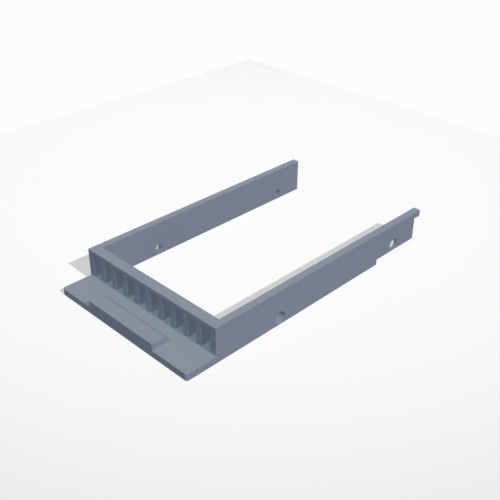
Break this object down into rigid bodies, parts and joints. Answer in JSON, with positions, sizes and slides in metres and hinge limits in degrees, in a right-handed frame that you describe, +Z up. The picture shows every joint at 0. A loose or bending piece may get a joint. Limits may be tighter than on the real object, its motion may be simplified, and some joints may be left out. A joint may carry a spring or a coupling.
{
  "type": "hard drive caddy",
  "caption": "U-shaped tray for a 2.5 inch hard drive: two screw-holed side rails behind a bezel with upright vent slots and a lip with a raised grip pad.",
  "frame": {"origin": "middle of the footprint, on the underside of the rails and lip", "axes": "+Y from the lip and bezel towards the rails' open rear ends, +X to the right seen from the front, +Z up"},
  "size_m": [0.0768, 0.1398, 0.0157],
  "materials": {
    "moulded_plastic": "matt blue-grey plastic, plain"
  },
  "bodies": {
    "root": {"drive_caddy": "moulded_plastic"}
  },
  "joints": []
}
